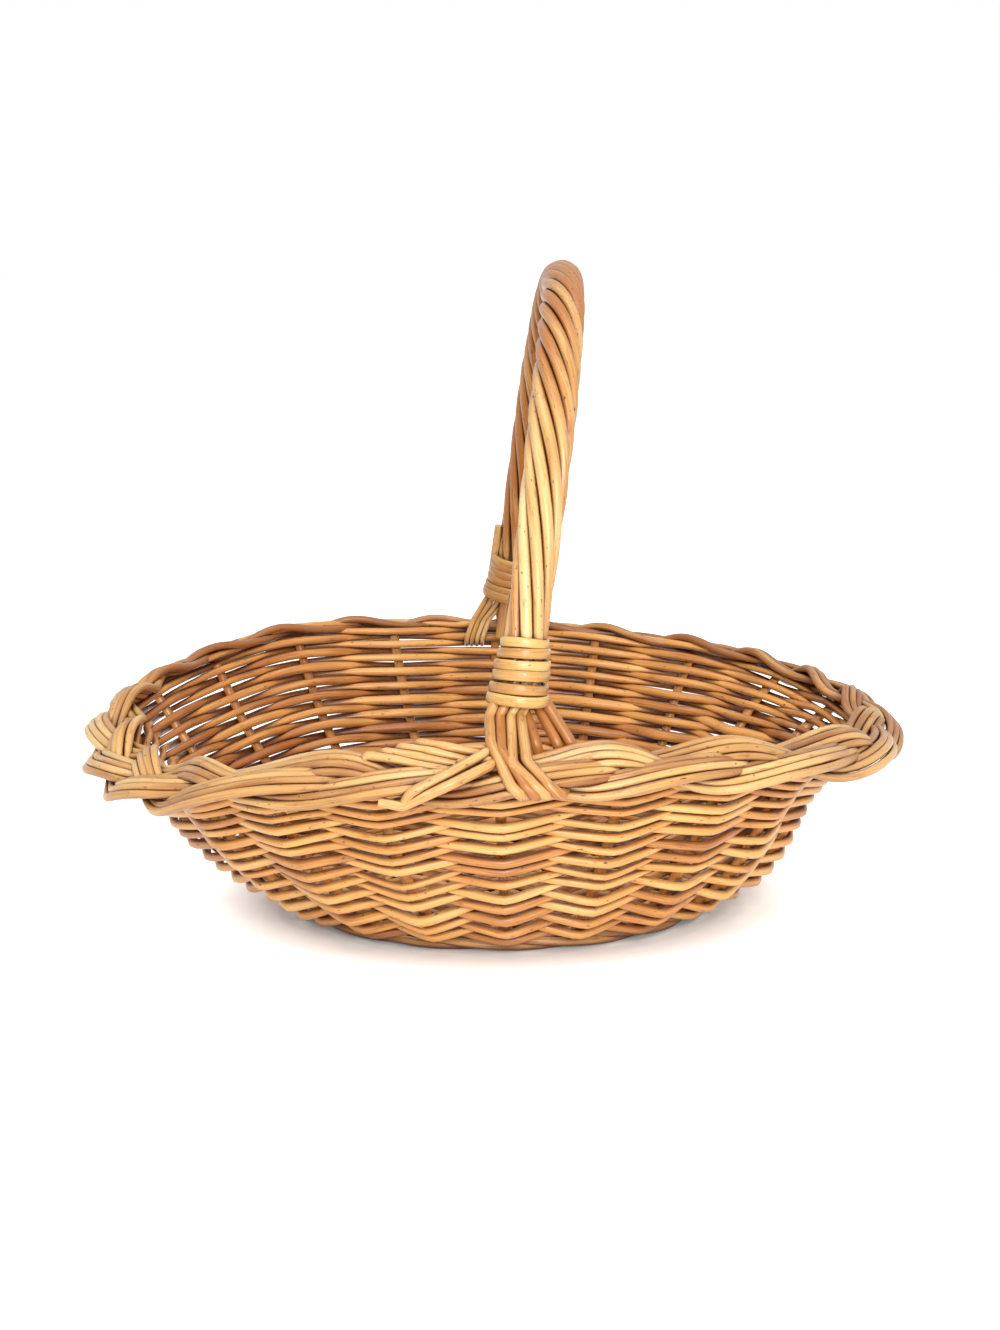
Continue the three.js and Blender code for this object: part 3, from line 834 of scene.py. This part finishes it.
# Painted shade on the far half and on each rod's underside, painted light at the left end, and darker at the
# right end
BORDER_TINT = 0.48
BORDER_TINT_SPREAD = 0.34
BORDER_TINT_KNOTS = 14
BORDER_TINT_SEED = 70
BORDER_UNDERSIDE_PAINTED_SHADE = 0.45
FAR_SHADE = 0.26
FAR_SHADE_FADE = (-0.2, 0.8)
LEFT_LIGHT = 0.18
LEFT_LIT = (math.pi, 0.8)
RIGHT_SHADE = 0.2
RIGHT_SHADED = (0, 1.0)

# Outer loops that the photograph shows, in degrees round the mouth; the others are spread evenly
LOOPS = PLAIT_PERIODS * PLAIT_STRANDS
LOOP_PLACES = np.radians([-144, -117, -97, -80, -60, -32, -10])
LOOP_BLUR = np.linspace(-0.13, 0.13, 9)  # each loop's pace runs into the next one's over this angle

# Rods of one strand that fold over beside the near foot
# Degrees round the mouth, across the plait and height at each bend
FOLDED_STRAND = 0
FOLDED_TINT = 0.6
FOLDED_RODS = [
    [(-113.9, -5.5, 1), (-113.5, -7.7, 7.5), (-109.3, -4.7, 7.5), (-102.1, -0.9, 3)],
    [(-112.0, -12.6, 1), (-110.9, -9.6, 7.5), (-106.4, -6.3, 7.5), (-101.3, -4.4, 3)],
    [(-109.7, -14.8, 1), (-108.8, -12.1, 7.5), (-104.5, -8.9, 7.5), (-99.7, -7.2, 3)],
    [(-106.9, -16.9, 1), (-106.3, -14.4, 7.5), (-101.8, -10.8, 7.5), (-97.0, -9.0, 3)],
]
CREASE = 1.8


def plait_phase(angle):
    """The plait's phase round the mouth: a third of a turn from one outer loop to the next."""
    rest = np.linspace(LOOP_PLACES[-1], LOOP_PLACES[0] + TAU, LOOPS - len(LOOP_PLACES) + 2)[1:]
    places = np.concatenate([LOOP_PLACES, rest])
    phases = math.pi / 2 + TAU / PLAIT_STRANDS * np.arange(LOOPS + 1)
    total = 0
    for offset in LOOP_BLUR:
        rounds, within = np.divmod(angle + offset - places[0], TAU)
        total = total + np.interp(within + places[0], places, phases) + rounds * PLAIT_PERIODS * TAU
    return total / len(LOOP_BLUR)


def strand_rod_path(angle, border, strand, rod, seed):
    """One rod of a strand round the mouth: the strand's rods lie side by side from edge to edge."""
    phase = plait_phase(angle) + TAU * strand / PLAIT_STRANDS
    phase = phase - STRAND_ROLL * (1 - np.sin(phase)) / 2
    place = rod - (STRAND_RODS - 1) / 2
    spacing = ROD_SPACING * (1 - STRAND_BUNCH * np.cos(phase) ** 2)
    far = smoothstep(*FAR_PLAIT, np.sin(angle))
    swell = 1 - FAR_SLIMMER * far + LEFT_SWELL * near_angle(angle, *LEFT_LOOP)
    sway = swell * STRAND_SWAY * np.sin(phase) + place * spacing
    sway = sway + SIDE_STRAY * wander_round(angle, STRAY_KNOTS, SIDE_STRAY_SEED + seed)
    crown = STRAND_CROWN * (1 - (2 * place / (STRAND_RODS - 1)) ** 2)
    height = (crown - STRAND_LIFT * np.sin(2 * phase)) * (1 - FAR_FLATTER * far)
    height = height + HEIGHT_STRAY * wander_round(angle, STRAY_KNOTS, seed)
    return border.middle + border.across * sway[:, None] + border.face * height[:, None]


def border_tint(angle, seed):
    tint = BORDER_TINT + BORDER_TINT_SPREAD * wander_round(angle, BORDER_TINT_KNOTS, BORDER_TINT_SEED + seed)
    # Painted shade on the far half, then painted light at the left end and darker at the right end
    tint = tint - FAR_SHADE * smoothstep(*FAR_SHADE_FADE, np.sin(angle))
    return tint + LEFT_LIGHT * near_angle(angle, *LEFT_LIT) - RIGHT_SHADE * near_angle(angle, *RIGHT_SHADED)


def make_border():
    angle = np.linspace(0, TAU, BORDER_STEPS, endpoint=False)
    border = border_frame(angle)
    for strand in range(PLAIT_STRANDS):
        bundle = Bundle()
        for k in range(STRAND_RODS):
            seed = BORDER_SEED + 10 * strand + k
            path = strand_rod_path(angle, border, strand, k, seed)
            radius = knobbly(lengths_along(path), BORDER_RADIUS, seed)
            tint = border_tint(angle, seed)
            bundle.rod(path, radius, border.face, tint, closed=True, seed=seed, inner=BORDER_UNDERSIDE_PAINTED_SHADE)
        if strand == FOLDED_STRAND:
            for k, places in enumerate(FOLDED_RODS):
                seed = FOLDED_SEED + k
                path = creased([on_border(*place) for place in places], CREASE)
                radius = knobbly(lengths_along(path), BORDER_RADIUS, seed)
                bundle.rod(path, radius, NEAR_FOOT.face, FOLDED_TINT, seed=seed)
        name = f"border_strand_{strand + 1}"
        bundle.build("rods_of_" + name, "border_willow", [name])


# Handle: core, eight roped rods and their feet

CORE_RADIUS = 4.1
CORE_TINT = 0.3
CORE_STEPS = 120
HANDLE_ROD_RADIUS = 2.6
HANDLE_SWELL = 0.03
HANDLE_SIDES = 12
ROPE_START = BINDING_LIFT + 10
ROPE_STEPS = 220

# The rope's radius at the rods' middles, along its length: slimmer at the bindings and over the top
LAY_RADII = (
    (0, 0.06, 0.25, 0.4, 0.5, 0.6, 0.75, 0.94, 1),
    (6.7, 7.2, 8.3, 8.1, 7.0, 8.1, 8.3, 7.2, 6.7),
)

# Along a rod, from its near tip to its far tip: share of its length, then tint or share of its thickness
# The tints hold painted light on the near leg and painted shade on the far leg
HANDLE_TINTS = (
    (0, 0.09, 0.14, 0.28, 0.4, 0.5, 0.86, 0.9, 1),
    (0.12, 0.26, 0.5, 0.52, 0.08, -0.04, 0.04, 0.8, 0.9),
)
ROD_THICKNESS = (
    (0, 0.1, 0.16, 0.3, 0.5, 0.7, 0.85, 0.9, 1),
    (1.06, 1.0, 1.06, 1.19, 1.1, 1.19, 1, 0.62, 0.55),
)
HANDLE_TINT_SPREAD = 0.1
HANDLE_TINT_LENGTH = 120
INSIDE_SHADE = 0.48
INSIDE_FADE = (0.08, 0.16)

# Outside foot rods: degrees past the foot below the binding, at the crease and at the border's edge,
# then how far across the plait the crease lies
FOOT_RODS = [
    (-1.3, -1.4, 1.6, -11.5),
    (0.3, -0.1, 3.3, -7.0),
    (1.9, 1.2, 4.5, 1.0),
    (3.3, 3.0, 6.2, 0.0),
]
FAR_SWEEP = 0.6  # the far foot's rods sweep less, and lie some degrees back
FAR_BACK = 2.4

# Near and far foot: height over the plait, its edge, and the bends of a tip that tucks under it
# A bend has degrees further round, a place out from the edge and a height
FOOT_TOP = -30  # across the plait, where the rods leave the binding
FOOT_TOP_DROP = 2
FOOT_HEIGHTS = (8, 5.5)
FOOT_EDGES = (15.5, 13.2)
FOOT_TIPS = [
    [(-0.8, -3, 5.5), (0.6, 0, 2.5), (2.0, -8.5, -3)],
    [(-0.8, -4, 3.0), (1.2, 0, -0.5), (4.5, -4, -4)],
]

# Inside foot rods of the near and the far foot: spacing, and how far each sweeps along the border,
# then rise, depth inside the wall and share of the sweep at each bend
INSIDE_FEET = [
    (4.2, (21, 21, 27, 29), [(1.15, 15, 0.95), (1.0, 10, 1.1), (0.88, 2, 1.15)]),
    (2.9, (12, 12, 12, 12), [(1.15, 14, 0.6), (1.04, 9, 0.95), (0.99, 1, 1.0)]),
]

# A short rod that stands beside the far leg
LINER_ROD = 2
LINER_TOP = 65
LINER_OUT = 10.6
LINER_RADIUS = 2.3
LINER_TINT = 0.6
LINER_STEPS = 30

# Rod ends finished off over the near border: degrees round the mouth, across the plait and height
FINISHED_RADIUS = 2.4
FINISHED_TINT = 0.45
FINISHED_ENDS = {
    3: [(-95.7, -14.6, 1), (-97.0, -7.4, 7), (-102.0, 6.1, 9), (-106.6, 14.0, 6), (-107.6, 15.5, 0),
        (-107.4, 8, -8)],
    4: [(-95.2, -7.0, 1), (-96.5, 0.0, 7), (-101.6, 11.1, 7.5), (-104.8, 15.1, 4.5), (-107.8, 16.5, -0.5),
        (-110.7, 14.4, 1)],
}


def lay(share):
    """Turns of the rope up to a share of its length: the lay is longer on the legs than over the top."""
    return HANDLE_TURNS * (share - LAY_SLACK * np.sin(TAU * share) / TAU)


def rod_angle(rod):
    return TAU * (rod + 0.5) / HANDLE_RODS


def rope_path(rod):
    share = np.linspace(0, 1, ROPE_STEPS)
    point, _, outward = arch_frame(lerp(ROPE_START, ARCH_LENGTH - ROPE_START, share))
    angle = rod_angle(rod) + TAU * lay(share)
    radial = outward * np.cos(angle)[:, None] + ARCH_SIDE * np.sin(angle)[:, None]
    return point + radial * np.interp(share, *LAY_RADII)[:, None], radial


def outside_foot(foot, rank):
    """From the binding straight down to the plait, a crease, slantwise across it and under its edge."""
    angle = math.degrees(FIRST_STAKE) + 180 * foot
    start, turn, end, across = FOOT_RODS[rank]
    height = FOOT_HEIGHTS[foot]
    edge = FOOT_EDGES[foot]
    if foot == 1:
        start, turn, end = (FAR_SWEEP * place - FAR_BACK for place in (start, turn, end))
    bends = [
        on_border(angle + start, FOOT_TOP, height - FOOT_TOP_DROP),
        on_border(angle + turn, across, height),
    ]
    return bends + [on_border(angle + end + past, edge + out, up) for past, out, up in FOOT_TIPS[foot]]


def inside_foot(foot, rank):
    """From the binding down inside the wall, with the end pushed between the top rows."""
    angle = FIRST_STAKE + foot * math.pi
    border = (NEAR_FOOT, FAR_FOOT)[foot]
    spacing, sweeps, places = INSIDE_FEET[foot]
    beside = (rank - (len(sweeps) - 1) / 2) * spacing
    return [
        wall_point(angle, rise) - border.outward * depth + border.around * (beside + part * sweeps[rank])
        for rise, depth, part in places
    ]


def make_core():
    point, _, outward = arch_frame(np.linspace(0, ARCH_LENGTH, CORE_STEPS))
    bundle = Bundle()
    bundle.rod(point, CORE_RADIUS, outward, CORE_TINT, seed=CORE_SEED)
    bundle.build("round_handle_core", "handle_willow", ["handle_core"])


def add_liner(bundle, seed):
    point, _, _ = arch_frame(ARCH_LENGTH - np.linspace(BINDING_LIFT, LINER_TOP, LINER_STEPS))
    path = point + ARCH_SIDE * LINER_OUT
    bundle.rod(path, LINER_RADIUS, ARCH_SIDE, LINER_TINT, sides=HANDLE_SIDES, seed=seed)


def add_finished_end(bundle, places, seed):
    path = creased([on_border(*place) for place in places], CREASE)
    radius = knobbly(lengths_along(path), FINISHED_RADIUS, seed)
    bundle.rod(path, radius, NEAR_FOOT.face, FINISHED_TINT, sides=HANDLE_SIDES, seed=seed)


def make_handle():
    half = HANDLE_RODS // 2
    for rod in range(HANDLE_RODS):
        outside = math.cos(rod_angle(rod)) > 0
        rank = (half // 2 - 1 - rod + HANDLE_RODS) % HANDLE_RODS if outside else rod - half // 2
        foot = outside_foot if outside else inside_foot
        rope, radial = rope_path(rod)
        near = creased([rope[0], *foot(0, rank)], CREASE)[:0:-1]
        far = creased([rope[-1], *foot(1, half - 1 - rank)], CREASE)[1:]
        path = np.vstack([near, rope, far])
        near_normals = np.repeat(radial[:1], len(near), 0)
        far_normals = np.repeat(radial[-1:], len(far), 0)
        normals = np.vstack([near_normals, radial, far_normals])
        length = lengths_along(path)
        share = length / length[-1]
        seed = HANDLE_SEED + rod
        spread = rng.standard_normal() + wander(length, HANDLE_TINT_LENGTH, seed)
        tint = np.interp(share, *HANDLE_TINTS) + HANDLE_TINT_SPREAD * spread
        if not outside:
            tint = tint - INSIDE_SHADE * (1 - smoothstep(*INSIDE_FADE, share))
        radius = knobbly(length, HANDLE_ROD_RADIUS, seed, HANDLE_SWELL) * np.interp(share, *ROD_THICKNESS)
        bundle = Bundle()
        bundle.rod(path, radius, normals, tint, sides=HANDLE_SIDES, seed=seed)
        if rod == LINER_ROD:
            add_liner(bundle, LINER_SEED + rod)
        if rod in FINISHED_ENDS:
            add_finished_end(bundle, FINISHED_ENDS[rod], FINISHED_SEED + rod)
        name = f"handle_rod_{rod + 1}"
        bundle.build("round_" + name, "handle_willow", [name])


# Bindings: a flattened skein in six turns on each leg, tighter towards its top

BINDING_STEPS = 36  # in each turn
BINDING_PITCHES = (5.0, 4.0)
BINDING_RADII = (13.4, 10.3)
BINDING_WIDTHS = (2.65, 2.35)  # half of the skein's width, at the bottom and the top
BINDING_FLAT = 0.5
BINDING_BOXY = 0.7
BINDING_SIDES = 16
BINDING_TINTS = (0.36, 0.02)
BINDING_TINT_SPREAD = 0.2
BINDING_TINT_TURNS = 0.4
BINDING_TINT_SEED = 5

# A slack place after the second turn
SLACK = 0.4
SLACK_TURNS = (1.8, 2.2)

# Unevenness up the leg, outward and between turns: how much, in how many turns, first seed
UNEVEN_LIFT = (0.5, 0.9, 930)
UNEVEN_RADIUS = (0.5, 0.16, 900)
UNEVEN_PITCH = (0.7, 0.3, 910)


def make_bindings():
    turn = np.linspace(0, BINDING_TURNS, BINDING_TURNS * BINDING_STEPS + 1)
    up = turn / BINDING_TURNS
    angle = TAU * turn
    for foot, side in enumerate(("near", "far")):
        lift, bump, shift = (
            amount * wander(turn, turns, seed + foot)
            for amount, turns, seed in (UNEVEN_LIFT, UNEVEN_RADIUS, UNEVEN_PITCH)
        )
        slack = SLACK * (smoothstep(*SLACK_TURNS, turn) - 0.5)
        distance = BINDING_LIFT + BINDING_PITCHES[foot] * turn + slack + lift
        point, along, outward = arch_frame(distance if foot == 0 else ARCH_LENGTH - distance)
        radial = -outward * np.cos(angle)[:, None] + ARCH_SIDE * np.sin(angle)[:, None]
        radius = lerp(*BINDING_RADII, up) + bump
        path = point + radial * radius[:, None] + along * shift[:, None]
        tint = wander(turn, BINDING_TINT_TURNS, BINDING_TINT_SEED)
        tint = BINDING_TINTS[foot] + BINDING_TINT_SPREAD * tint
        bundle = Bundle()
        bundle.rod(path, lerp(*BINDING_WIDTHS, up), radial, tint, flat=BINDING_FLAT, sides=BINDING_SIDES,
                   seed=BINDING_SEED + foot, boxy=BINDING_BOXY)
        name = f"handle_binding_{side}"
        bundle.build("skein_" + name, "binding_willow", [name])


# Stage: white floor that keeps the real shadow and adds a painted one round the base, soft lamps, the
# photograph's camera; in metres

FLOOR_HALF = 6.0
# Warm, which paints the basket's warm bounce light into the floor's shadow
FLOOR_COLOUR = (0.9, 0.86, 0.8, 1)
FLOOR_ROUGHNESS = 0.9
WORLD_STRENGTH = 0.45
LAMP_TARGET = (0, 0, 0.1)

# Lamps: name, place, size, power
LAMPS = [
    ("key", (0.05, -1.8, 0.75), 0.9, 27),
    ("top", (-0.3, -0.5, 1.9), 1.2, 11),
]

# Contact shadow, partly painted by the fading glow, in shares of the base's half sizes: shift, where it
# starts to fade and ends, glow inside
SHADOW_SHIFT = (-0.05, -0.07, 0)
SHADOW_EDGE = 0.97
SHADOW_END = 1.7
SHADOW_GLOW = 0.05


def seen_directly(tree):
    """1 for the rays that show the background itself: the camera's, and those mirrored or bent."""
    path = tree.nodes.new("ShaderNodeLightPath")
    seen = path.outputs["Is Camera Ray"]
    for kind in ("Is Glossy Ray", "Is Transmission Ray"):
        either = tree.nodes.new("ShaderNodeMath")
        either.operation = "MAXIMUM"
        tree.links.new(seen, either.inputs[0])
        tree.links.new(path.outputs[kind], either.inputs[1])
        seen = either.outputs[0]
    return seen


def shadow_glow(tree):
    """The floor's own white, which fades out in an oval round the base: the real contact shadow stays, and
    the fade paints more shadow there.
    """
    glow = tree.nodes.new("ShaderNodeEmission")
    place = tree.nodes.new("ShaderNodeNewGeometry")
    oval = tree.nodes.new("ShaderNodeMapping")
    oval.inputs["Location"].default_value = SHADOW_SHIFT
    oval.inputs["Scale"].default_value = (2 / (BASE_LENGTH * MM), 2 / (BASE_WIDTH * MM), 0)
    tree.links.new(place.outputs["Position"], oval.inputs["Vector"])
    radius = tree.nodes.new("ShaderNodeVectorMath")
    radius.operation = "LENGTH"
    tree.links.new(oval.outputs["Vector"], radius.inputs[0])
    # Painted shadow: the glow fades in an oval round the base
    fade = tree.nodes.new("ShaderNodeMapRange")
    fade.interpolation_type = "SMOOTHSTEP"
    fade.inputs["From Min"].default_value = SHADOW_EDGE
    fade.inputs["From Max"].default_value = SHADOW_END
    fade.inputs["To Min"].default_value = SHADOW_GLOW
    fade.inputs["To Max"].default_value = 1.0
    tree.links.new(radius.outputs["Value"], fade.inputs["Value"])
    tree.links.new(fade.outputs["Result"], glow.inputs["Strength"])
    return glow


def make_stage():
    material = bpy.data.materials.new("white_floor")
    material.use_nodes = True
    tree = material.node_tree
    shader = tree.nodes["Principled BSDF"]
    shader.inputs["Base Color"].default_value = FLOOR_COLOUR
    shader.inputs["Roughness"].default_value = FLOOR_ROUGHNESS
    shader.inputs["Specular IOR Level"].default_value = 0.0
    both = tree.nodes.new("ShaderNodeAddShader")
    tree.links.new(shader.outputs[0], both.inputs[0])
    tree.links.new(shadow_glow(tree).outputs[0], both.inputs[1])
    seen = tree.nodes.new("ShaderNodeMixShader")
    tree.links.new(seen_directly(tree), seen.inputs["Fac"])
    tree.links.new(shader.outputs[0], seen.inputs[1])
    tree.links.new(both.outputs[0], seen.inputs[2])
    tree.links.new(seen.outputs[0], tree.nodes["Material Output"].inputs["Surface"])
    mesh = bpy.data.meshes.new("floor")
    corners = [(x * FLOOR_HALF, y * FLOOR_HALF, 0) for x, y in ((-1, -1), (1, -1), (1, 1), (-1, 1))]
    mesh.from_pydata(corners, [], [(0, 1, 2, 3)])
    mesh.materials.append(material)
    floor = bpy.data.objects.new("floor", mesh)
    bpy.context.scene.collection.objects.link(floor)


def make_world():
    world = bpy.data.worlds.new("studio")
    world.use_nodes = True
    bpy.context.scene.world = world
    tree = world.node_tree
    light = tree.nodes["Background"]
    light.inputs["Color"].default_value = (*WHITE, 1)
    light.inputs["Strength"].default_value = WORLD_STRENGTH
    white = tree.nodes.new("ShaderNodeBackground")
    white.inputs["Color"].default_value = (*WHITE, 1)
    seen = tree.nodes.new("ShaderNodeMixShader")
    tree.links.new(seen_directly(tree), seen.inputs["Fac"])
    tree.links.new(light.outputs[0], seen.inputs[1])
    tree.links.new(white.outputs[0], seen.inputs[2])
    tree.links.new(seen.outputs[0], tree.nodes["World Output"].inputs["Surface"])


def look_along(direction):
    """Rotation that points an object's -Z along a direction, with its X level."""
    x, y, z = direction
    return (math.atan2(math.hypot(x, y), -z), 0, math.atan2(-x, y))


def area_lamp(name, place, size, power):
    lamp = bpy.data.lights.new(name, "AREA")
    lamp.shape = "DISK"
    lamp.size = size
    lamp.energy = power
    obj = bpy.data.objects.new(name, lamp)
    obj.location = place
    obj.rotation_euler = look_along(np.array(LAMP_TARGET) - np.array(place))
    bpy.context.scene.collection.objects.link(obj)


def make_camera():
    camera = bpy.data.cameras.new("camera")
    camera.sensor_fit = "VERTICAL"
    camera.sensor_height = SENSOR_HEIGHT
    camera.lens = CAMERA_LENS
    obj = bpy.data.objects.new("camera", camera)
    level = CAMERA_DISTANCE * math.cos(CAMERA_ELEVATION)
    away = np.array([
        -level * math.sin(CAMERA_TURN),
        -level * math.cos(CAMERA_TURN),
        CAMERA_DISTANCE * math.sin(CAMERA_ELEVATION),
    ])
    obj.location = (np.array(CAMERA_TARGET) + away) * MM
    obj.rotation_euler = look_along(-away)
    bpy.context.scene.collection.objects.link(obj)
    bpy.context.scene.camera = obj


make_base()
make_wale()
make_stakes()
make_weave()
make_border()
make_core()
make_handle()
make_bindings()
make_stage()
make_world()
for lamp in LAMPS:
    area_lamp(*lamp)
make_camera()
bpy.context.scene.view_settings.view_transform = "Standard"
